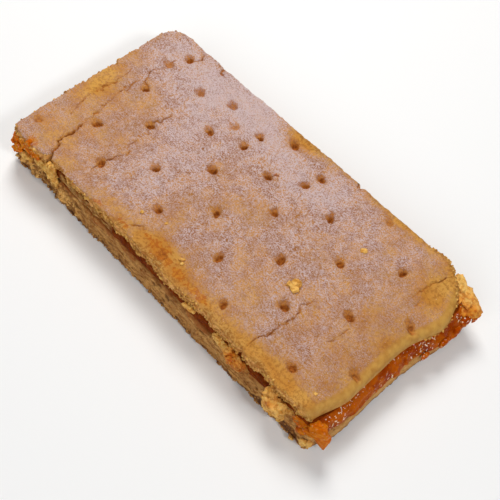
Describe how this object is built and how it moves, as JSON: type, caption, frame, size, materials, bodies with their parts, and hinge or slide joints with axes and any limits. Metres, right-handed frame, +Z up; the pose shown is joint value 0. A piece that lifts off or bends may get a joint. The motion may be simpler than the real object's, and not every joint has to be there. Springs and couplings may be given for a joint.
{
  "type": "apricot slice",
  "caption": "Rectangular slice of shortcrust pastry with an apricot jam filling between a thick base and a sugared, docked top crust.",
  "frame": {"origin": "middle of the slice's box, on the surface that it rests on", "axes": "+X along the length towards the end where the top crust curls over the filling, +Y across from the knife-cut long side, +Z up through the layers"},
  "size_m": [0.1308, 0.0664, 0.0174],
  "materials": {
    "crust": "baked shortcrust, pinkish tan, frosted with fine caster sugar",
    "filling": "glossy deep orange apricot jam, with pulp and small lights",
    "base": "cut shortcrust, dull golden brown, darker along its baked underside",
    "crumb": "broken pale pastry crumbs, some stained with jam"
  },
  "bodies": {
    "root": {"top_crust": "crust", "apricot_filling": "filling", "base_crust": "base", "corner_scrap": "crumb", "corner_squeeze": "filling", "side_chunk": "crumb", "side_rubble": "crumb", "top_crumb": "crumb"}
  },
  "joints": []
}
